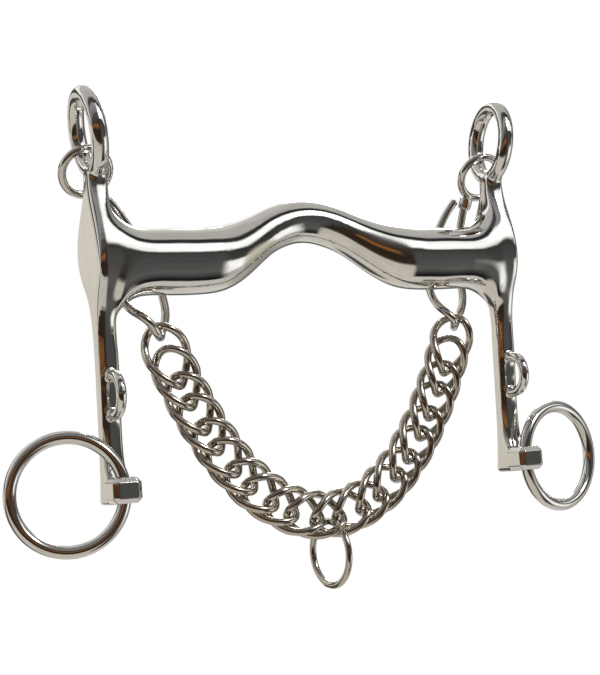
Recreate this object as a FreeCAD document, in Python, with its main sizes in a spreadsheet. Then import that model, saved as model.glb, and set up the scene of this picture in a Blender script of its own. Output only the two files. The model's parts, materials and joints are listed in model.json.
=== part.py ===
"""Curb bit with fixed cheeks: mouthpiece, two cheeks, rings, curb hooks and a double-link curb chain.

Frame: millimetres, +Z up along the cheeks, X along the mouthpiece, -Y towards the front.
The origin is on the mouthpiece's axis, midway between the two cheeks.
"""
import FreeCAD, Part
import math
import os
import Sketcher
from FreeCAD import Placement, Rotation, Vector

os.makedirs("parts", exist_ok=True)
doc = FreeCAD.newDocument("curb_bit")

# ---- Driving dimensions ----------------------------------------------------

DIMENSIONS = (
    ("cheek_centre", 66.5, "middle plane of each cheek, from the middle of the bit"),
    ("cheek_thickness", 6.0, "cheek, across the bit"),
    ("cheek_round", 1.6, "rounding of the cheek's edges"),
    ("eye_middle_y", 0.2, "middle of the eye, front to back"),
    ("eye_middle_z", 37.4, "middle of the eye, above the mouthpiece"),
    ("eye_outer_y", 10.8, "eye, outer half width"),
    ("eye_outer_z", 13.4, "eye, outer half height"),
    ("eye_wall", 4.0, "metal around the eye"),
    ("eye_thickness", 4.8, "metal around the eye, across the bit"),
    ("eye_lean", 7.0, "degrees that the eye leans outwards"),
    ("bar_half_y", 8.5, "mouthpiece beside the port, half depth"),
    ("bar_half_z", 9.4, "mouthpiece beside the port, half height"),
    ("port_half_y", 6.1, "mouthpiece at the top of the port, half depth"),
    ("port_half_z", 6.2, "mouthpiece at the top of the port, half height"),
    ("port_rise", 12.4, "height of the port"),
    ("port_lean", 4.4, "backward lean of the port at its top"),
    ("port_half_width", 37.0, "half width of the port"),
    ("slim_half_width", 12.0, "half width of the port's slim top"),
    ("slim_reach", 34.0, "where the mouthpiece has its full thickness, from the middle"),
    ("flare_length", 10.0, "where the mouthpiece widens to meet a cheek"),
    ("flare_half_y", 8.0, "mouthpiece end, half depth"),
    ("flare_half_z", 15.2, "mouthpiece end, half height"),
    ("foot_front", -2.5, "front face of the cheek's foot"),
    ("foot_bottom", -67.8, "bottom of the cheek's foot"),
    ("keeper_width", 8.6, "rein ring keeper, across the bit"),
    ("keeper_depth", 8.2, "rein ring keeper, front to back"),
    ("keeper_height", 7.2, "rein ring keeper, height"),
    ("keeper_bore", 5.2, "hole for the rein ring, diameter"),
    ("keeper_bevel", 1.4, "bevel of the keeper's edges"),
    ("rein_ring_radius", 15.65, "rein ring, middle of the wire"),
    ("rein_ring_wire", 1.85, "rein ring, wire radius"),
    ("rein_ring_rest", 15.0, "degrees that a resting rein ring points backwards"),
    ("loop_middle_z", -37.6, "middle of the lip strap loop"),
    ("loop_half_height", 5.5, "lip strap loop, half height at the wire's middle"),
    ("loop_front", -9.6, "front of the lip strap loop, at the wire's middle"),
    ("loop_wire", 1.4, "lip strap loop, wire radius"),
    ("hook_wire", 1.2, "curb hook, wire radius"),
    ("hook_ring_radius", 7.05, "curb hook's ring, middle of the wire"),
    ("hook_tilt", 32.0, "degrees between the hook ring's axis and Y"),
    ("hook_drop", 1.5, "how far the hook's ring hangs below the middle of the eye's metal"),
    ("link_half_length", 9.25, "chain link, half length at the wire's middle"),
    ("link_half_width", 6.2, "chain link, half width at the wire's middle"),
    ("link_wire", 1.15, "chain link, wire radius"),
    ("link_twist", 45.0, "degrees that a link is twisted at each end"),
    ("link_pair", 15.3, "one pair of links to the next, along the chain"),
    ("link_step", 7.0, "first link of a pair to the second"),
    ("chain_hang_x", 49.5, "where a curb hook holds the chain, from the middle"),
    ("chain_hang_y", 2.0, "plane of the hanging chain"),
    ("chain_hang_z", -21.5, "height of the chain's ends"),
    ("hook_reach", 3.3, "chain link's end to the hook's wire, middle to middle"),
    ("fly_ring_radius", 9.5, "fly ring, middle of the wire"),
    ("fly_ring_wire", 1.0, "fly ring, wire radius"),
    ("fly_ring_turn", 97.0, "degrees that the fly ring is turned out of the chain's plane"),
)

sheet = doc.addObject("Spreadsheet::Sheet", "dimensions")
for row, (alias, value, meaning) in enumerate(DIMENSIONS, start=1):
    sheet.set(f"A{row}", meaning)
    sheet.set(f"B{row}", str(value))
    sheet.setAlias(f"B{row}", alias)
doc.recompute()

LINK_COUNT = 20
SIDES = (("left", -1), ("right", 1))
PARTS = []


def size(alias):
    """Value of one cell of the sheet."""
    return float(sheet.get(alias))


def bind(obj, **expressions):
    """Bind properties of an object to cells of the sheet."""
    for name, expression in expressions.items():
        obj.setExpression(name, expression)


def keep(obj, label):
    """Name a sub-part and put it on the list of those to export."""
    obj.Label = label
    PARTS.append(obj)
    return obj


def shaped(label, shape, placement=None):
    """A sub-part whose shape is made by Part's own functions."""
    obj = doc.addObject("Part::Feature", label)
    obj.Shape = shape
    obj.Placement = placement or Placement()
    return keep(obj, label)


def origin_plane(body, role):
    """One of a body's own origin planes."""
    return next(plane for plane in body.Origin.OriginFeatures if plane.Role == role)


def sketch_on(body, role, name, offset=None):
    """A sketch of the body, on one of its origin planes."""
    sketch = body.newObject("Sketcher::SketchObject", name)
    sketch.AttachmentSupport = [(origin_plane(body, role), "")]
    sketch.MapMode = "FlatFace"
    sketch.AttachmentOffset = offset or Placement()
    return sketch


def smooth(points, periodic=False):
    """A spline through points."""
    curve = Part.BSplineCurve()
    curve.interpolate([Vector(*point) for point in points], periodic)
    return curve


def wire_along(curve, radius, start=None, end=None):
    """Round wire of one radius along a curve, or along one stretch of it."""
    first = curve.FirstParameter if start is None else start
    last = curve.LastParameter if end is None else end
    spine = Part.Wire([curve.toShape(first, last)])
    profile = Part.Wire([Part.makeCircle(radius, curve.value(first), curve.tangent(first)[0])])
    return spine.makePipeShell([profile], True, False)


def closed_wire(curve, radius):
    """Round wire along a closed curve, made as two halves and joined."""
    middle = (curve.FirstParameter + curve.LastParameter) / 2
    halves = wire_along(curve, radius, end=middle), wire_along(curve, radius, start=middle)
    return halves[0].fuse(halves[1]).removeSplitter().Solids[0]


# ---- Mouthpiece: one bar with a wide, low port ------------------------------

def raised(x):
    """How far along the rise of the port x is: 1 in the middle, 0 beside the port."""
    if abs(x) >= size("port_half_width"):
        return 0.0
    return (1 + math.cos(math.pi * x / size("port_half_width"))) / 2


def slimmed(x):
    """How slim the mouthpiece is at x: 1 over the top of the port, 0 beside the port."""
    outwards = (abs(x) - size("slim_half_width")) / (size("slim_reach") - size("slim_half_width"))
    return (1 + math.cos(math.pi * min(1.0, max(0.0, outwards)))) / 2


def flared(x, end):
    """How far the mouthpiece has widened towards the cheek: 0 at the bar, 1 at its end."""
    inwards = (end - abs(x)) / size("flare_length")
    return max(0.0, 1 - inwards) ** 2


def mouthpiece_section(x, end):
    """Elliptical section of the mouthpiece at x."""
    rise = raised(x)
    flare = flared(x, end)
    slim = slimmed(x)
    half_y = size("bar_half_y") + slim * (size("port_half_y") - size("bar_half_y"))
    half_z = size("bar_half_z") + slim * (size("port_half_z") - size("bar_half_z"))
    half_y += flare * (size("flare_half_y") - half_y)
    half_z += flare * (size("flare_half_z") - half_z)
    slope = size("port_rise") * (raised(x + 0.5) - raised(x - 0.5))
    middle = Vector(x, rise * size("port_lean"), rise * size("port_rise"))
    along = Vector(1, 0, slope).normalize()
    up = Vector(-slope, 0, 1).normalize()
    ellipse = Part.Ellipse(middle + up * half_z, middle + along.cross(up) * half_y, middle)
    return Part.Wire([ellipse.toShape()])


def make_mouthpiece():
    """Loft from cheek to cheek, flat at both ends."""
    end = size("cheek_centre") - size("cheek_thickness") / 2
    inner_steps = [size("port_half_width") * step / 8 for step in range(9)]
    outer_steps = [end - size("flare_length") * step for step in (1.6, 1.0, 0.66, 0.33, 0.12, 0)]
    half = inner_steps + outer_steps
    stations = [-x for x in reversed(half[1:])] + half
    return Part.makeLoft([mouthpiece_section(x, end) for x in stations], True, False)


shaped("mouthpiece", make_mouthpiece())


# ---- Cheeks: a flat plate with a long shank, a foot and a leaning eye --------

PLATE_FRONT = ((-2.7, 26), (-3.0, 20.5), (-5.8, 12), (-8.1, 2.5), (-7.2, -5), (-4.2, -11.5),
               (-2.4, -18), (-1.8, -28), (-1.0, -42), (-0.6, -52), (-1.4, -58.5))
PLATE_REAR = ((6.4, -67.8), (4.9, -58), (4.2, -48), (3.7, -36), (3.3, -27), (3.7, -18),
              (5.8, -10.5), (10.6, -3.5), (12.2, 4), (9.4, 12), (4.4, 19.5), (3.2, 26))


LONG_EDGE = 30      # only the plate's two long curves, on both faces, are longer


def add_edges(sketch, edges):
    """Put lines and curves into a sketch."""
    for edge in edges:
        sketch.addGeometry(edge, False)


def segment(start, end):
    """Straight line of a sketch."""
    return Part.LineSegment(Vector(*start), Vector(*end))


def ellipse(middle, tall, wide):
    """Ellipse from its middle and its longer and shorter half axes."""
    return Part.Ellipse(middle + tall, middle + wide, middle)


def make_cheek(name, side):
    """One cheek, as a body: a padded and rounded plate, and a round-sectioned eye on top of it."""
    body = doc.addObject("PartDesign::Body", name)
    outline = sketch_on(body, "YZ_Plane", name + "_plate_outline")
    foot_top = (size("foot_front"), size("foot_bottom") + size("keeper_height"), 0)
    foot_low = (size("foot_front"), size("foot_bottom"), 0)
    front = [(y, z, 0) for y, z in PLATE_FRONT]
    rear = [(y, z, 0) for y, z in PLATE_REAR]
    add_edges(outline, (
        smooth(front),
        segment(front[-1], foot_top),
        segment(foot_top, foot_low),
        segment(foot_low, rear[0]),
        smooth(rear),
        segment(rear[-1], front[0]),
    ))
    plate = body.newObject("PartDesign::Pad", name + "_plate")
    plate.Profile = outline
    plate.SideType = "Symmetric"
    bind(plate, Length="dimensions.cheek_thickness")
    doc.recompute()

    rim = body.newObject("PartDesign::Fillet", name + "_rounding")
    rim.Base = (plate, ["Edge%d" % (n + 1) for n, edge in enumerate(plate.Shape.Edges)
                        if edge.Length > LONG_EDGE])
    bind(rim, Radius="dimensions.cheek_round")
    doc.recompute()

    lean = Rotation(Vector(1, 0, 0), side * size("eye_lean"))
    neck = Vector(0, size("eye_middle_z") - size("eye_outer_z"), 0)
    route = sketch_on(body, "YZ_Plane", name + "_eye_route", Placement(neck - lean.multVec(neck), lean))
    half_wall = size("eye_wall") / 2
    add_edges(route, (ellipse(
        Vector(size("eye_middle_y"), size("eye_middle_z"), 0),
        Vector(0, size("eye_outer_z") - half_wall, 0),
        Vector(size("eye_outer_y") - half_wall, 0, 0),
    ),))
    section = sketch_on(body, "XZ_Plane", name + "_eye_section",
                        Placement(Vector(0, 0, -size("eye_middle_y")), Rotation()))
    add_edges(section, (ellipse(
        Vector(0, neck.y + half_wall, 0),
        Vector(size("eye_thickness") / 2, 0, 0),
        Vector(0, half_wall, 0),
    ),))
    eye = body.newObject("PartDesign::AdditivePipe", name + "_eye")
    eye.Profile = section
    eye.Spine = route
    body.Tip = eye
    bind(body, **{"Placement.Base.x": f"{side} * dimensions.cheek_centre"})
    doc.recompute()
    return keep(body, name)


cheeks = {name: make_cheek("cheek_" + name, side) for name, side in SIDES}


# ---- Rein ring keepers: a bevelled block with an upright hole ----------------

def make_keeper(name, side):
    """Block on the front of the cheek's foot, bevelled, and bored for the rein ring."""
    body = doc.addObject("PartDesign::Body", name)
    half = size("keeper_width") / 2
    rear = size("foot_front")
    front = rear - size("keeper_depth")
    corners = ((-half, front, 0), (half, front, 0), (half, rear, 0), (-half, rear, 0))
    base = Placement(Vector(0, 0, size("foot_bottom")), Rotation())
    outline = sketch_on(body, "XY_Plane", name + "_outline", base)
    add_edges(outline, [segment(corners[n - 1], corners[n]) for n in range(4)])
    block = body.newObject("PartDesign::Pad", name + "_block")
    block.Profile = outline
    bind(block, Length="dimensions.keeper_height")
    doc.recompute()

    bevel = body.newObject("PartDesign::Chamfer", name + "_bevel")
    bevel.Base = (block, ["Edge%d" % (n + 1) for n, edge in enumerate(block.Shape.Edges)
                          if edge.BoundBox.YMin < rear - 0.1])
    bind(bevel, Size="dimensions.keeper_bevel")
    doc.recompute()

    mouth = sketch_on(body, "XY_Plane", name + "_bore_outline", base)
    middle = Vector(0, (front + rear) / 2, 0)
    bore_outline = mouth.addGeometry(Part.Circle(middle, Vector(0, 0, 1), size("keeper_bore") / 2), False)
    mouth.addConstraint(Sketcher.Constraint("Diameter", bore_outline, size("keeper_bore")))
    bind(mouth, **{"Constraints[0]": "dimensions.keeper_bore"})
    bore = body.newObject("PartDesign::Pocket", name + "_bore")
    bore.Profile = mouth
    bore.Type = "ThroughAll"
    bore.Reversed = True
    doc.recompute()
    assert bore.Shape.Volume < bevel.Shape.Volume - 1
    body.Tip = bore
    bind(body, **{"Placement.Base.x": f"{side} * dimensions.cheek_centre"})
    doc.recompute()
    return keep(body, name)


for name, side in SIDES:
    make_keeper("rein_ring_keeper_" + name, side)


# ---- Lip strap loops: bent wire, brazed to the front of each shank ------------

def make_lip_strap_loop(cheek, side):
    """D-shaped wire loop, cut to the shank that it stands on."""
    middle_z = size("loop_middle_z")
    radius = size("loop_half_height")
    middle_y = size("loop_front") + radius
    inside = 0.6
    top = Vector(0, middle_y, middle_z + radius)
    bottom = Vector(0, middle_y, middle_z - radius)
    spine = Part.Wire([
        Part.LineSegment(Vector(0, inside, top.z), top).toShape(),
        Part.Arc(top, Vector(0, size("loop_front"), middle_z), bottom).toShape(),
        Part.LineSegment(bottom, Vector(0, inside, bottom.z)).toShape(),
    ])
    profile = Part.Wire([Part.makeCircle(size("loop_wire"), Vector(0, inside, top.z), Vector(0, 1, 0))])
    loop = spine.makePipeShell([profile], True, False)
    shank = cheek.Shape.copy()
    shank.translate(Vector(-side * size("cheek_centre"), 0, 0))
    return loop.cut(shank)


for name, side in SIDES:
    shaped("lip_strap_loop_" + name, make_lip_strap_loop(cheeks[name], side),
           Placement(Vector(side * size("cheek_centre"), 0, 0), Rotation()))


# ---- Rings: plain tori of round wire ------------------------------------------

def upright_ring(label, radius, wire, middle, turn):
    """Ring in an upright plane that is turned by some degrees from the XZ plane."""
    ring = doc.addObject("Part::Torus", label)
    bind(ring, Radius1="dimensions." + radius, Radius2="dimensions." + wire)
    upright = Rotation(Vector(1, 0, 0), 90)
    ring.Placement = Placement(middle, Rotation(Vector(0, 0, 1), turn) * upright)
    return keep(ring, label)


RING_PLAY = 0.2     # a rein ring's wire stands off the middle of its hole by this much
for name, side in SIDES:
    keeper = Vector(side * size("cheek_centre"), size("foot_front") - size("keeper_depth") / 2,
                    size("foot_bottom") + size("keeper_height") / 2)
    turn = size("rein_ring_rest") if side > 0 else 180 - size("rein_ring_rest")
    outwards = Rotation(Vector(0, 0, 1), turn).multVec(Vector(1, 0, 0))
    upright_ring("rein_ring_" + name, "rein_ring_radius", "rein_ring_wire",
                 keeper + outwards * (size("rein_ring_radius") - RING_PLAY), turn)


# ---- Curb hooks: a ring round the eye's metal and a hook behind the mouthpiece --

HOOK_ON_EYE = 50.0  # degrees below level, on the eye's rear side, where the ring goes round it
# Each strand's points are (distance from the middle of the bit, y, z). The two hooks aren't mirrored:
# both are twisted the same way, so the chain's end lies across each of them alike.
OUTER_STRAND = ((62.2, 11.1, 16.5), (60.4, 11.4, 9.0), (59.4, 11.4, 2.5))
OUTER_IN_FRONT = ((58.6, 10.4, -4.0), (58.7, 6.6, -9.5), (57.2, 1.7, -13.8), (53.7, -1.1, -17.4))
OUTER_BEHIND = ((58.8, 11.2, -4.0), (58.7, 10.0, -9.0), (57.2, 8.0, -13.4), (53.7, 5.1, -17.4))
INNER_IN_FRONT = ((47.7, -1.1, -19.7), (44.8, 1.4, -15.4), (44.7, 6.8, -9.3), (46.2, 10.5, -3.0))
INNER_BEHIND = ((47.7, 5.1, -19.7), (45.1, 8.0, -15.2), (44.9, 10.2, -8.2), (46.3, 11.3, -2.0))
INNER_STRAND = ((48.9, 11.6, 4.0), (53.0, 11.5, 11.6), (56.6, 11.3, 17.0), (59.4, 11.0, 20.2))
COLLAR_RADIUS = 2.0
COLLAR_LENGTH = 3.4


def eye_metal():
    """Middle of the eye's metal where a hook's ring goes round it, for a cheek at x = 0."""
    half_wall = size("eye_wall") / 2
    below = math.radians(HOOK_ON_EYE)
    y = size("eye_middle_y") + (size("eye_outer_y") - half_wall) * math.cos(below)
    z = size("eye_middle_z") - (size("eye_outer_z") - half_wall) * math.sin(below)
    above_neck = z - (size("eye_middle_z") - size("eye_outer_z"))
    return Vector(above_neck * math.sin(math.radians(size("eye_lean"))), y, z)


def make_hook(side):
    """One hook: closed ring, collar, and a strand that runs down, round and up again."""
    tilt = math.radians(size("hook_tilt"))
    metal = eye_metal()
    metal.x = side * (size("cheek_centre") + metal.x)
    down = Vector(0, math.sin(tilt), -math.cos(tilt))
    axis = Vector(0, math.cos(tilt), math.sin(tilt))
    middle = metal + down * size("hook_drop")
    ring = Part.makeTorus(size("hook_ring_radius"), size("hook_wire"), middle, axis)
    knot_angle = math.radians(28)
    knot = middle + (down * math.cos(knot_angle)
                     + Vector(-side * math.sin(knot_angle), 0, 0)) * size("hook_ring_radius")
    bottom = (size("chain_hang_x"), size("chain_hang_y"), size("chain_hang_z"))
    if side < 0:
        strand = (*OUTER_STRAND, *OUTER_IN_FRONT, bottom, *INNER_BEHIND, *INNER_STRAND)
    else:
        strand = (*OUTER_STRAND, *OUTER_BEHIND, bottom, *INNER_IN_FRONT, *INNER_STRAND)
    points = [tuple(knot)] + [(side * across, y, z) for across, y, z in strand]
    wire = wire_along(smooth(points), size("hook_wire"))
    below_knot = Vector(*points[1]) - knot
    collar_start = knot + below_knot * 0.2
    collar = Part.makeCylinder(COLLAR_RADIUS, COLLAR_LENGTH, collar_start, below_knot)
    return ring.fuse([wire, collar]).removeSplitter()


for name, side in SIDES:
    shaped("curb_hook_" + name, make_hook(side))


# ---- Curb chain: each twisted link goes through the next two -------------------

def link_place_on_chain(count):
    """Distance of one link's middle along the chain, from the first hook's wire."""
    first = size("link_half_length") - size("hook_reach")
    return first + (count // 2) * size("link_pair") + (count % 2) * size("link_step")


CHAIN_LENGTH = (link_place_on_chain(LINK_COUNT - 1) + size("link_half_length") - size("hook_reach"))


def catenary_scale(span, length):
    """Scale of the catenary of one length that hangs over one half span, by halving."""
    low, high = span / 10, span * 10
    for _ in range(60):
        middle = (low + high) / 2
        if 2 * middle * math.sinh(span / middle) > length:
            low = middle
        else:
            high = middle
    return middle


SCALE = catenary_scale(size("chain_hang_x"), CHAIN_LENGTH)
CHAIN_LOW_Z = size("chain_hang_z") - SCALE * (math.cosh(size("chain_hang_x") / SCALE) - 1)


def link_placement(count):
    """Place of one link on the hanging chain, with its length along the chain."""
    along = link_place_on_chain(count) - CHAIN_LENGTH / 2
    x = SCALE * math.asinh(along / SCALE)
    z = CHAIN_LOW_Z + SCALE * (math.cosh(x / SCALE) - 1)
    slope = math.degrees(math.atan(math.sinh(x / SCALE)))
    return Placement(Vector(x, size("chain_hang_y"), z), Rotation(Vector(0, -1, 0), slope))


def make_link():
    """Oval of wire, twisted along its length, round its own middle."""
    points = []
    steps = 24
    for step in range(steps):
        turn = 2 * math.pi * step / steps
        x = size("link_half_length") * math.cos(turn)
        across = size("link_half_width") * math.sin(turn)
        twist = math.radians(size("link_twist")) * math.cos(turn)
        points.append((x, across * math.sin(twist), across * math.cos(twist)))
    return closed_wire(smooth(points, periodic=True), size("link_wire"))


link = make_link()
for count in range(LINK_COUNT):
    shaped("chain_link_%02d" % (count + 1), link.copy(), link_placement(count))

FLY_RING_DROP = 11.5
FLY_RING_MIDDLE = Vector(0, size("chain_hang_y"), CHAIN_LOW_Z - FLY_RING_DROP)
upright_ring("fly_ring", "fly_ring_radius", "fly_ring_wire", FLY_RING_MIDDLE, size("fly_ring_turn"))


# ---- Checks and export ----------------------------------------------------------

doc.recompute()
for obj in doc.Objects:
    if "Invalid" in obj.State or "Error" in obj.State:
        raise RuntimeError(f"{obj.Name} is {obj.State}")
for obj in PARTS:
    if obj.Shape.isNull() or not obj.Shape.isValid() or len(obj.Shape.Solids) != 1:
        raise RuntimeError(f"{obj.Label} has no single valid solid")
for obj in PARTS:
    obj.Shape.exportStep(f"parts/{obj.Label}.step")
    print(f"{obj.Label}: {obj.Shape.Volume:.1f} mm3")
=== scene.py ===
# %% [markdown]
# # A curb bit in polished stainless steel
# A curb bit is a horse's mouthpiece with a long cheek at each end, a ring for the rein at the foot of
# each cheek, and a chain that lies behind the chin. All of it is stainless steel, so the whole lesson
# is about smooth metal: shapes that catch long clean reflections, and something worth reflecting.
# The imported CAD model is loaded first. Every place below is read from it.

# %% Load the frame
import json
import math
import bpy
from mathutils import Matrix, Vector

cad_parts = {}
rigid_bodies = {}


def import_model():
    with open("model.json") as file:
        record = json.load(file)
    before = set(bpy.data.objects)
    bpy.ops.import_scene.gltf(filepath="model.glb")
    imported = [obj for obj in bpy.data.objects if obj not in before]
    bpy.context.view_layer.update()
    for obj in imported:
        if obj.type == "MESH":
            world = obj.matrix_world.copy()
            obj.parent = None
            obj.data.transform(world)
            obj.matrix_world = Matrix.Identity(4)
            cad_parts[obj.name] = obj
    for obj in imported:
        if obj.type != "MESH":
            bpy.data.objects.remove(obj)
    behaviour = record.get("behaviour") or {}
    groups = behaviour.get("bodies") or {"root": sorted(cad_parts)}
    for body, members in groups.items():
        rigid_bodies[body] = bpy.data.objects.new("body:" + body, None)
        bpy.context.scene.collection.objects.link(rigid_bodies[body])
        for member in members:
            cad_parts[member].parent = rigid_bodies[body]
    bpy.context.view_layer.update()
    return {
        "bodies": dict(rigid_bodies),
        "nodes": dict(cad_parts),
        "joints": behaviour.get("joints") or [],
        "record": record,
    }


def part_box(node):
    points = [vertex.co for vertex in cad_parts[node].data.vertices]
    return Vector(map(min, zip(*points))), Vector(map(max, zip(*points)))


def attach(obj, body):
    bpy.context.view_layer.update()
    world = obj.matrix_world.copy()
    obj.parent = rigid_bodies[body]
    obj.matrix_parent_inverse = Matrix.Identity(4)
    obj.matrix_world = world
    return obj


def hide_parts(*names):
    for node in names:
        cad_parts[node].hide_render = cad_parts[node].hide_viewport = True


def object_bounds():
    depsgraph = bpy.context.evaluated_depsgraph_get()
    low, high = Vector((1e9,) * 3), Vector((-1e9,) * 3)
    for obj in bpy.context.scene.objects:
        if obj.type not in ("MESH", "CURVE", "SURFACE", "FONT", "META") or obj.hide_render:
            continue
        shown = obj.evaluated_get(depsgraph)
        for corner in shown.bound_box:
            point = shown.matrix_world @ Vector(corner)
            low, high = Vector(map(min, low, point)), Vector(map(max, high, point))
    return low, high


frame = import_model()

JOINTS = {joint["name"]: joint for joint in frame["joints"]}
MOUNTS = {mount["name"]: mount for mount in frame["record"]["mounts"]}


# %% [markdown]
# ## Small helpers
# Sizes of metalwork are thought of in millimetres, and Blender works in metres. Colours are picked as
# sRGB hex values, and shaders want them linear.

# %% Units, colours and nodes
def mm(value):
    """Millimetres as metres."""
    return value / 1000


def linear(hex_colour):
    """An sRGB hex colour as the linear RGBA that shaders use."""
    channels = [int(hex_colour[n:n + 2], 16) / 255 for n in (1, 3, 5)]
    return [c / 12.92 if c <= 0.04045 else ((c + 0.055) / 1.055) ** 2.4 for c in channels] + [1.0]


def add_node(tree, kind, settings=None, sockets=None):
    """Add one node, set its properties, and set or link its inputs by name or number."""
    made = tree.nodes.new(kind)
    for name, value in (settings or {}).items():
        setattr(made, name, value)
    for name, value in (sockets or {}).items():
        if isinstance(value, bpy.types.NodeSocket):
            tree.links.new(value, made.inputs[name])
        else:
            made.inputs[name].default_value = value
    return made


def set_stops(ramp_node, stops):
    """Give a colour ramp its stops, as (position, linear RGBA) pairs."""
    ramp = ramp_node.color_ramp
    while len(ramp.elements) < len(stops):
        ramp.elements.new(1.0)
    for element, (position, colour) in zip(ramp.elements, stops):
        element.position = position
        element.color = colour


# %% [markdown]
# ## Polished stainless steel
# Bits are cast or forged in stainless steel, ground, and buffed on soft wheels until they mirror the
# room. Three things keep a buffed surface from looking like a computer's perfect mirror: hair-fine
# buffing lines, patches where handling has dulled the shine, and a very slight waviness left by the
# grinding. All three are here, and each has its size in millimetres. The steel's own colour is a
# nearly neutral light grey, a little warm where it is tumbled instead of buffed, as chain wire is.

# %% The steel finishes
def stainless(name, colour, dull_colour, shine, dull_shine, patch_mm, line_mm, line_depth_mm,
              wave_mm, wave_depth_mm):
    """Polished stainless steel: colour and roughness vary in patches, over fine lines and slow waves."""
    material = bpy.data.materials.new(name)
    material.use_nodes = True
    tree = material.node_tree
    shader = tree.nodes["Principled BSDF"]
    shader.inputs["Metallic"].default_value = 1.0
    place = add_node(tree, "ShaderNodeTexCoord").outputs["Object"]
    patches = add_node(tree, "ShaderNodeTexNoise", {"noise_dimensions": "3D"}, {
        "Vector": place, "Scale": 1 / mm(patch_mm), "Detail": 5.0, "Roughness": 0.6})
    tint = add_node(tree, "ShaderNodeMix", {"data_type": "RGBA"}, {
        "Factor": patches.outputs["Fac"], "A": linear(colour), "B": linear(dull_colour)})
    tree.links.new(tint.outputs["Result"], shader.inputs["Base Color"])
    stretched = add_node(tree, "ShaderNodeMapping", {}, {"Vector": place, "Scale": (0.06, 1.0, 1.0)})
    lines = add_node(tree, "ShaderNodeTexNoise", {"noise_dimensions": "3D"}, {
        "Vector": stretched.outputs["Vector"], "Scale": 1 / mm(line_mm), "Detail": 3.0})
    wear = add_node(tree, "ShaderNodeMath", {"operation": "MULTIPLY"}, {
        0: patches.outputs["Fac"], 1: lines.outputs["Fac"]})
    gloss = add_node(tree, "ShaderNodeMapRange", {}, {
        "Value": wear.outputs["Value"], "From Min": 0.12, "From Max": 0.42,
        "To Min": shine, "To Max": dull_shine})
    tree.links.new(gloss.outputs["Result"], shader.inputs["Roughness"])
    waves = add_node(tree, "ShaderNodeTexNoise", {"noise_dimensions": "3D"}, {
        "Vector": place, "Scale": 1 / mm(wave_mm), "Detail": 1.0})
    line_bump = add_node(tree, "ShaderNodeBump", {}, {
        "Height": lines.outputs["Fac"], "Distance": mm(line_depth_mm), "Strength": 1.0})
    bump = add_node(tree, "ShaderNodeBump", {}, {
        "Height": waves.outputs["Fac"], "Distance": mm(wave_depth_mm), "Strength": 1.0,
        "Normal": line_bump.outputs["Normal"]})
    tree.links.new(bump.outputs["Normal"], shader.inputs["Normal"])
    return material


BUFFED_STEEL = stainless("buffed_stainless_steel", "#dcdbd8", "#cfcdc8", 0.035, 0.10,
                         patch_mm=9.0, line_mm=0.5, line_depth_mm=0.0012, wave_mm=14.0, wave_depth_mm=0.10)
RING_STEEL = stainless("buffed_ring_steel", "#d9d8d5", "#cbc9c4", 0.05, 0.13,
                       patch_mm=6.0, line_mm=0.45, line_depth_mm=0.0016, wave_mm=9.0, wave_depth_mm=0.06)
HOOK_STEEL = stainless("drawn_hook_wire", "#d6d4cf", "#c4c0b8", 0.07, 0.18,
                       patch_mm=4.0, line_mm=0.4, line_depth_mm=0.0025, wave_mm=5.0, wave_depth_mm=0.05)
CHAIN_STEEL = stainless("tumbled_chain_wire", "#c8c3ba", "#aca396", 0.08, 0.22,
                        patch_mm=3.5, line_mm=0.4, line_depth_mm=0.003, wave_mm=4.0, wave_depth_mm=0.06)
print("steels:", [m.name for m in (BUFFED_STEEL, RING_STEEL, HOOK_STEEL, CHAIN_STEEL)])


# %% [markdown]
# ## Two ways to make smooth metal
# Cast and forged pieces flow into each other, with a soft fillet at each joint. A copy of the CAD
# meshes is wrapped in one even skin of small squares (a voxel remesh), and the skin is then relaxed,
# which turns every inside corner into a fillet, as the grinding wheel does. Wire pieces are simpler:
# a circle carried along a curve, with the small bead of the weld where the wire closes on itself.

# %% A skin over cast pieces
def finish_piece(piece, body, material, nodes):
    """Give a piece its steel and its body, and hide the CAD nodes that it stands for."""
    piece.data.materials.clear()
    piece.data.materials.append(material)
    piece.data.shade_smooth()
    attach(piece, body)
    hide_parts(*nodes)
    print(f"{piece.name}: {len(piece.data.vertices)} vertices on {body}")
    return piece


def skinned_copy(name, nodes, voxel_mm, relax_steps, grow_mm=0.0):
    """One even, relaxed skin over copies of some CAD nodes."""
    copies = []
    for node_name in nodes:
        copy = frame["nodes"][node_name].copy()
        copy.data = copy.data.copy()
        copy.parent = None
        for key in list(copy.keys()):
            del copy[key]
        bpy.context.scene.collection.objects.link(copy)
        copies.append(copy)
    with bpy.context.temp_override(active_object=copies[0], selected_editable_objects=copies):
        bpy.ops.object.join()
    rough = copies[0]
    remesh = rough.modifiers.new("skin", "REMESH")
    remesh.mode = "VOXEL"
    remesh.voxel_size = mm(voxel_mm)
    relax = rough.modifiers.new("relax", "SMOOTH")
    relax.factor = 0.5
    relax.iterations = relax_steps
    if grow_mm:
        grow = rough.modifiers.new("grow", "DISPLACE")
        grow.strength = mm(grow_mm)
        grow.mid_level = 0.0
    ready = rough.evaluated_get(bpy.context.evaluated_depsgraph_get())
    mesh = bpy.data.meshes.new_from_object(ready)
    bpy.data.objects.remove(rough)
    piece = bpy.data.objects.new(name, mesh)
    bpy.context.scene.collection.objects.link(piece)
    return piece


# %% [markdown]
# ## The casting
# Mouthpiece, cheeks and lip strap loops are one piece of metal on a finished bit: brazed or cast
# together, then polished as one. So one skin covers all five CAD pieces.

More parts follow.
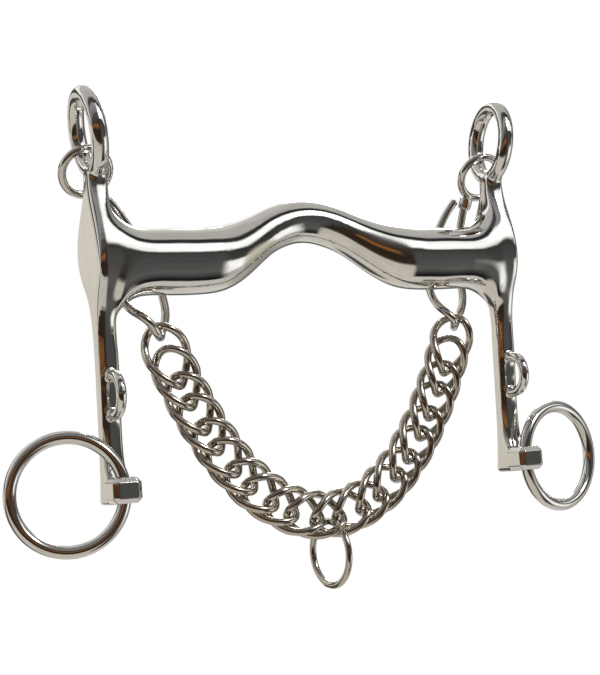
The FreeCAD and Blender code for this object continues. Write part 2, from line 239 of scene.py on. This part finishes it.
# %% Softer where the bar meets the cheeks
def soften_shoulders(piece, face_x, inwards_mm, outwards_mm, half_height_mm, steps):
    """Relax a skin further round the two places where the bar runs into a cheek."""
    group = piece.vertex_groups.new(name="shoulders")
    for vertex in piece.data.vertices:
        x, z = abs(vertex.co.x) - face_x, abs(vertex.co.z)
        reach = mm(outwards_mm) if x > 0 else mm(inwards_mm)
        near = max(0.0, 1 - (x / reach) ** 2) * min(1.0, max(0.0, 2 - 2 * z / mm(half_height_mm)))
        if near > 0:
            group.add([vertex.index], near, "REPLACE")
    relax = piece.modifiers.new("soften", "SMOOTH")
    relax.vertex_group = group.name
    relax.factor = 0.5
    relax.iterations = steps
    ready = piece.evaluated_get(bpy.context.evaluated_depsgraph_get())
    softened = bpy.data.meshes.new_from_object(ready)
    piece.modifiers.clear()
    piece.vertex_groups.clear()
    piece.data = softened


# %% Mouthpiece, cheeks and lip strap loops
CASTING_NODES = ("mouthpiece", "cheek_left", "cheek_right", "lip_strap_loop_left", "lip_strap_loop_right")
casting = skinned_copy("bit_casting", CASTING_NODES, voxel_mm=0.42, relax_steps=22, grow_mm=0.22)
bar_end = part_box("mouthpiece")[1]
soften_shoulders(casting, bar_end.x, inwards_mm=11, outwards_mm=3.5, half_height_mm=26, steps=160)
finish_piece(casting, "frame", BUFFED_STEEL, CASTING_NODES)

# %% [markdown]
# ## Rein ring keepers
# Each keeper is a small block with bevelled faces and an upright hole. It keeps crisper edges than
# the casting, so its skin is finer and less relaxed.

# %% Keepers
for side in ("left", "right"):
    node_name = "rein_ring_keeper_" + side
    keeper = skinned_copy("keeper_block_" + side, [node_name], voxel_mm=0.2, relax_steps=5)
    finish_piece(keeper, "frame", BUFFED_STEEL, [node_name])

# %% [markdown]
# ## Curb hooks
# A hook is bent from one length of wire, with its ring closed round the eye.

# %% Hooks
for side in ("left", "right"):
    node_name = "curb_hook_" + side
    hook = skinned_copy("hook_wire_" + side, [node_name], voxel_mm=0.22, relax_steps=5, grow_mm=0.04)
    finish_piece(hook, "hook_" + side, HOOK_STEEL, [node_name])


# %% [markdown]
# ## Closed wire
# For rings and links, each point of the curve gets a circle of wire. The circle's first direction
# points away from the middle of the loop, so the tube never twists and its ends meet exactly. The
# bead is a soft swelling of the wire on both sides of the weld.

# %% Tubes round closed curves
def closed_tube(name, points, wire_radius, place, around=20, bead_at=None, bead=0.0, bead_length=0.02):
    """A tube of wire round a closed curve about the origin, then put in its place."""
    count = len(points)
    vertices = []
    for n, point in enumerate(points):
        along = (points[(n + 1) % count] - points[n - 1]).normalized()
        outwards = (point - along * point.dot(along)).normalized()
        across = along.cross(outwards)
        radius = wire_radius
        if bead_at is not None:
            gap = abs((n / count - bead_at + 0.5) % 1 - 0.5)
            radius *= 1 + bead * math.exp(-(gap / bead_length) ** 2)
        for step in range(around):
            turn = 2 * math.pi * step / around
            spoke = outwards * math.cos(turn) + across * math.sin(turn)
            vertices.append(place @ (point + spoke * radius))
    faces = []
    for n in range(count):
        for step in range(around):
            ring, next_ring, next_step = n * around, (n + 1) % count * around, (step + 1) % around
            faces.append((ring + step, ring + next_step, next_ring + next_step, next_ring + step))
    mesh = bpy.data.meshes.new(name)
    mesh.from_pydata([tuple(v) for v in vertices], [], faces)
    mesh.update()
    piece = bpy.data.objects.new(name, mesh)
    bpy.context.scene.collection.objects.link(piece)
    return piece


def circle_points(radius, count):
    """Points of a circle in the XZ plane."""
    turns = [2 * math.pi * n / count for n in range(count)]
    return [Vector((radius * math.cos(turn), 0, radius * math.sin(turn))) for turn in turns]


def placed(middle, *directions):
    """Place whose X, Y and Z run along three directions, with its origin at a middle point."""
    return Matrix.Translation(Vector(middle)) @ Matrix(directions).transposed().to_4x4()


def upright_place(mount):
    """Place of an upright ring whose middle and axis are those of a mount."""
    axis = Vector(mount["axis"]).normalized()
    up = Vector((0, 0, 1))
    return placed(mount["pos_m"], up.cross(axis) * -1, axis, up)


# %% [markdown]
# ## Rein rings and fly ring
# The rein rings are heavy wire, welded and then buffed until the weld almost disappears. The fly ring
# on the chain is light wire, and its weld shows as a small bead.

# %% Rings
REIN_RING_RADIUS, REIN_RING_WIRE, REIN_RING_STEPS = 15.65, 1.85, 144     # millimetres, and points
FLY_RING_RADIUS, FLY_RING_WIRE, FLY_RING_STEPS = 9.5, 1.0, 96
for side in ("left", "right"):
    name = "rein_ring_" + side
    ring = closed_tube(name + "_wire", circle_points(mm(REIN_RING_RADIUS), REIN_RING_STEPS),
                       mm(REIN_RING_WIRE), upright_place(MOUNTS[name]), around=28, bead_at=0.62,
                       bead=0.02)
    finish_piece(ring, name, RING_STEEL, [name])
fly_ring = closed_tube("fly_ring_wire_loop", circle_points(mm(FLY_RING_RADIUS), FLY_RING_STEPS),
                       mm(FLY_RING_WIRE), upright_place(MOUNTS["fly_ring"]), bead_at=0.8, bead=0.1,
                       bead_length=0.012)
finish_piece(fly_ring, "fly_ring", CHAIN_STEEL, ["fly_ring"])

# %% [markdown]
# ## Curb chain
# A double-link curb chain is woven from oval links, each twisted so that its two ends stand a quarter
# turn apart. Each link passes through the next two, and the twist is what lets the chain lie flat
# against the chin. Each link's middle and direction are those of its joint in the CAD model.

# %% Links
LINK_HALF_LENGTH, LINK_HALF_WIDTH, LINK_WIRE = 9.25, 6.2, 1.15      # millimetres
LINK_TWIST = math.radians(45)
LINK_STEPS = 88
WELDS = (0.75, 0.25)        # share of the way round to the weld: on one long side and the other, by turns


def link_points(count):
    """Points of an oval that is twisted along its length."""
    points = []
    for n in range(count):
        turn = 2 * math.pi * n / count
        across = mm(LINK_HALF_WIDTH) * math.sin(turn)
        twist = LINK_TWIST * math.cos(turn)
        points.append(Vector((mm(LINK_HALF_LENGTH) * math.cos(turn), across * math.sin(twist),
                              across * math.cos(twist))))
    return points


def link_place(joint):
    """Place of a link whose length runs along its joint's axis."""
    along = Vector(joint["axis"]).normalized()
    across = Vector((0, 1, 0))
    return placed(joint["pos_m"], along, across, along.cross(across))


LINK_BODIES = sorted(body for body in frame["bodies"] if body.startswith("link_"))
for number, body in enumerate(LINK_BODIES):
    link = closed_tube("chain_" + body + "_wire", link_points(LINK_STEPS), mm(LINK_WIRE),
                       link_place(JOINTS[body + "_rock"]), around=16,
                       bead_at=WELDS[number % 2], bead=0.07, bead_length=0.016)
    finish_piece(link, body, CHAIN_STEEL, ["chain_" + body])


# %% [markdown]
# ## Something to reflect
# A polished bit is a picture of the room it hangs in. A product studio is mostly pale, with dark gaps
# between its lamps and panels. The bar lies along X, so what it shows is sorted by the angle round
# that axis: the room is painted on the world as bands that go once round the bar, from behind it,
# underneath, up the front and over the top. Five such sets of bands stand side by side, because the
# rise and the fall of the port look left and right. The camera itself sees plain white behind the bit.

# %% The room, strip by strip
# Each strip: where it starts and ends across the room, from -1 at the left to 1 at the right, and its
# bands, each an angle in degrees and a colour. At 0 is the front, at 90 the top, at -90 the ground,
# and both -180 and 180 are straight behind the bit.
STRIPS = {
    "left": (-1.0, -0.06, (
        (-180, "#c9c4bb"), (-168, "#c9c4bb"), (-160, "#3f3f40"), (-128, "#4b4b4c"), (-120, "#c4bfb6"),
        (-34, "#bab5ad"), (-27, "#33281f"), (-4, "#2b221b"), (2, "#6e482a"), (7, "#8f5f33"),
        (11, "#3a2c20"), (28, "#4c4a48"), (34, "#6c6d6f"), (54, "#8b8c8d"), (60, "#3c3c3c"),
        (70, "#454545"), (77, "#a9a8a6"), (127, "#b5b3af"), (132, "#f2f2f0"), (146, "#f2f2f0"),
        (150, "#3c3c3d"), (163, "#464647"), (168, "#c9c4bb"), (180, "#c9c4bb"))),
    "left_of_middle": (0.02, 0.14, (
        (-180, "#c9c4bb"), (-110, "#c4bfb6"), (-34, "#bab5ad"), (-26, "#33291f"), (-4, "#2c261f"),
        (20, "#3a332b"), (28, "#4c4a48"), (34, "#6c6d6f"), (54, "#8b8c8d"), (60, "#3c3c3c"),
        (70, "#454545"), (77, "#a9a8a6"), (180, "#c9c4bb"))),
    "middle": (0.30, 0.54, (
        (-180, "#505153"), (-150, "#5a5b5d"), (-142, "#d0cec9"), (-112, "#c3c0ba"), (-73, "#bcb9b3"),
        (-70, "#0e0e0e"), (-62, "#1b1b1d"), (-40, "#545453"), (-8, "#4b4b4b"), (14, "#434443"),
        (25, "#323231"), (30, "#ffffff"), (54, "#ffffff"), (58, "#242424"), (69, "#2c2c2c"),
        (75, "#a6a5a2"), (136, "#c3c1bc"), (142, "#f4f4f4"), (156, "#f4f4f4"), (160, "#47484a"),
        (180, "#505153"))),
    "right": (0.78, 0.88, (
        (-180, "#5c5a56"), (-150, "#8e8b85"), (-90, "#b5b2ac"), (-57, "#b1aea8"), (-50, "#f6f6f5"),
        (-14, "#ffffff"), (-4, "#3f3e3c"), (18, "#363535"), (29, "#2a2a2c"), (37, "#ffffff"),
        (54, "#ffffff"), (60, "#1f1f1f"), (72, "#3a3a3b"), (80, "#8a8a8b"), (140, "#77777a"),
        (180, "#5c5a56"))),
    "far_right": (0.95, 1.0, (
        (-180, "#54524e"), (-120, "#8b8880"), (-40, "#b3aea3"), (12, "#c3beb0"), (34, "#4c4b49"),
        (90, "#58585a"), (150, "#6b6a69"), (180, "#54524e"))),
}
CLOUD_SCALE = 5.0                   # soft unevenness of the room's walls, across the whole sky
SWAY = 0.05                         # how far, in radians, the bands stray from straight
DIMMEST, BRIGHTEST = 1.25, 1.6      # the room's brightness, from patch to patch
print("strips of the room:", list(STRIPS))

# %% The room, painted on the world
world = bpy.data.worlds.new("studio_room")
bpy.context.scene.world = world
world.use_nodes = True
room = world.node_tree
room.nodes.clear()
direction = add_node(room, "ShaderNodeTexCoord").outputs["Generated"]
clouds = add_node(room, "ShaderNodeTexNoise", {}, {
    "Vector": direction, "Scale": CLOUD_SCALE, "Detail": 6.0})
sway = add_node(room, "ShaderNodeMapRange", {}, {
    "Value": clouds.outputs["Fac"], "To Min": -SWAY, "To Max": SWAY})
axes = add_node(room, "ShaderNodeSeparateXYZ", {}, {"Vector": direction})
forwards = add_node(room, "ShaderNodeMath", {"operation": "MULTIPLY"}, {0: axes.outputs["Y"], 1: -1.0})
over = add_node(room, "ShaderNodeMath", {"operation": "ARCTAN2"}, {
    0: axes.outputs["Z"], 1: forwards.outputs["Value"]})
swayed = add_node(room, "ShaderNodeMath", {"operation": "ADD"}, {
    0: over.outputs["Value"], 1: sway.outputs["Result"]})
share = add_node(room, "ShaderNodeMapRange", {}, {
    "Value": swayed.outputs["Value"], "From Min": -math.pi, "From Max": math.pi})
painted, painted_to = None, None
for strip_name, (start, end, stops) in STRIPS.items():
    bands = add_node(room, "ShaderNodeValToRGB", {"label": strip_name}, {"Fac": share.outputs["Result"]})
    set_stops(bands, [((angle + 180) / 360, linear(colour)) for angle, colour in stops])
    strip = bands.outputs["Color"]
    if painted is not None:
        step = add_node(room, "ShaderNodeMapRange", {"interpolation_type": "SMOOTHSTEP"}, {
            "Value": axes.outputs["X"], "From Min": painted_to, "From Max": start})
        strip = add_node(room, "ShaderNodeMix", {"data_type": "RGBA"}, {
            "Factor": step.outputs["Result"], "A": painted, "B": strip}).outputs["Result"]
    painted, painted_to = strip, end
unevenness = add_node(room, "ShaderNodeMapRange", {}, {
    "Value": clouds.outputs["Fac"], "From Min": 0.3, "From Max": 0.7,
    "To Min": DIMMEST, "To Max": BRIGHTEST})
lit_room = add_node(room, "ShaderNodeBackground", {}, {
    "Color": painted, "Strength": unevenness.outputs["Result"]})
plain_white = add_node(room, "ShaderNodeBackground", {}, {"Color": linear("#ffffff"), "Strength": 1.0})
seen = add_node(room, "ShaderNodeLightPath").outputs["Is Camera Ray"]
either = add_node(room, "ShaderNodeMixShader", {}, {
    0: seen, 1: lit_room.outputs[0], 2: plain_white.outputs[0]})
add_node(room, "ShaderNodeOutputWorld", {}, {"Surface": either.outputs[0]})
bpy.context.scene.view_settings.view_transform = "Standard"     # so that plain white stays white
print("nodes in the room:", len(room.nodes))

# %% [markdown]
# ## Floor and lights
# The bit hangs over a plain pale floor of matt paper. The floor is left out of the reflections, so
# the undersides show the painted room. One soft light, above and in front and to the right, adds to
# the white streak along the bar, and one from behind keeps the edges bright.

# %% Floor
FLOOR_DROP, FLOOR_REACH, FLOOR_STEPS = 0.42, 1.9, 96    # metres below the bit, metres, and points
PAPER_GRAIN_MM, PAPER_ROUGHNESS = 2.0, 0.9
low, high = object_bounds()
middle = (low + high) / 2
floor_mesh = bpy.data.meshes.new("floor")
rim = [(point.x, point.z, low.z - FLOOR_DROP) for point in circle_points(FLOOR_REACH, FLOOR_STEPS)]
floor_mesh.from_pydata(rim, [], [tuple(range(len(rim)))])
floor = bpy.data.objects.new("floor", floor_mesh)
bpy.context.scene.collection.objects.link(floor)
paper = bpy.data.materials.new("matt_white_paper")
paper.use_nodes = True
grain = add_node(paper.node_tree, "ShaderNodeTexNoise", {}, {
    "Scale": 1 / mm(PAPER_GRAIN_MM), "Detail": 4.0})
paper_tint = add_node(paper.node_tree, "ShaderNodeMix", {"data_type": "RGBA"}, {
    "Factor": grain.outputs["Fac"], "A": linear("#f7f7f6"), "B": linear("#f1f1ef")})
paper_surface = paper.node_tree.nodes["Principled BSDF"]
paper.node_tree.links.new(paper_tint.outputs["Result"], paper_surface.inputs["Base Color"])
paper_surface.inputs["Roughness"].default_value = PAPER_ROUGHNESS
floor_mesh.materials.append(paper)
floor.visible_glossy = False
print("floor, metres across:", 2 * FLOOR_REACH)


# %% Lights
# For each light: its place and its side, in metres, and its power, in watts.
LIGHTS = {
    "wide_soft_light": ((0.42, -0.67, 0.60), 0.22, 3.0),
    "rim_light": ((0.5, 0.7, 0.5), 0.3, 2.0)}


def soft_light(name, place, size_m, power):
    """A square soft light that faces the middle of the bit."""
    data = bpy.data.lights.new(name, "AREA")
    data.size = size_m
    data.energy = power
    light = bpy.data.objects.new(name, data)
    light.location = Vector(place)
    light.rotation_euler = (middle - light.location).to_track_quat("-Z", "Y").to_euler()
    bpy.context.scene.collection.objects.link(light)
    return light


for light_name, (light_place, light_side, light_power) in LIGHTS.items():
    soft_light(light_name, light_place, light_side, light_power)
print("lights:", list(LIGHTS))

# %% [markdown]
# ## Camera
# The camera stands to the left of the middle and a little below the bar, and is rolled slightly.

# %% Camera
CAMERA_AZIMUTH = math.radians(-26.5)
CAMERA_ELEVATION = math.radians(-4.4)
CAMERA_ROLL = math.radians(-4.3)
CAMERA_DISTANCE = 0.4674
CAMERA_AIM = Vector((-0.0058, 0.0, -0.0232))
SENSOR_WIDTH, FOCAL_LENGTH = 36.0, 94.1
camera_data = bpy.data.cameras.new("camera")
camera_data.sensor_fit = "HORIZONTAL"
camera_data.sensor_width = SENSOR_WIDTH
camera_data.lens = FOCAL_LENGTH
camera = bpy.data.objects.new("camera", camera_data)
backwards = Vector((math.sin(CAMERA_AZIMUTH) * math.cos(CAMERA_ELEVATION),
                    -math.cos(CAMERA_AZIMUTH) * math.cos(CAMERA_ELEVATION), math.sin(CAMERA_ELEVATION)))
camera.location = CAMERA_AIM + backwards * CAMERA_DISTANCE
level = backwards.to_track_quat("Z", "Y").to_matrix().to_4x4()
camera.matrix_world = (Matrix.Translation(camera.location) @ level
                       @ Matrix.Rotation(CAMERA_ROLL, 4, "Z"))
bpy.context.scene.collection.objects.link(camera)
bpy.context.scene.camera = camera
print("camera, metres from its aim:", CAMERA_DISTANCE)
